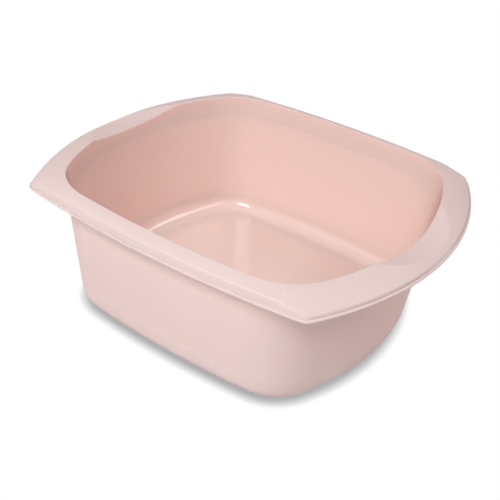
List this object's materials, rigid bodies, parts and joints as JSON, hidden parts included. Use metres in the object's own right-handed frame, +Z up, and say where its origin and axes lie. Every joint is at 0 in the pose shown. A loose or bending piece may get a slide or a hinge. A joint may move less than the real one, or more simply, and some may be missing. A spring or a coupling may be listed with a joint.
{
  "type": "washing up bowl",
  "caption": "Rectangular plastic washing up bowl with bowed sides, rounded corners, a turned-over rim with a thin edge bead, and wide end handles with thumb scoops.",
  "frame": {"origin": "on the ground under the middle of the bowl", "axes": "+X along the bowl's length towards the right handle, +Y to the rear long side, +Z up"},
  "size_m": [0.39, 0.3298, 0.14],
  "materials": {
    "bowl_plastic": "pale pink polypropylene, satin outside and glossy inside"
  },
  "bodies": {
    "root": {"base_panel": "bowl_plastic", "base_ring": "bowl_plastic", "basin_wall": "bowl_plastic", "front_rim": "bowl_plastic", "rear_rim": "bowl_plastic", "left_handle": "bowl_plastic", "right_handle": "bowl_plastic", "edge_bead": "bowl_plastic"}
  },
  "joints": []
}
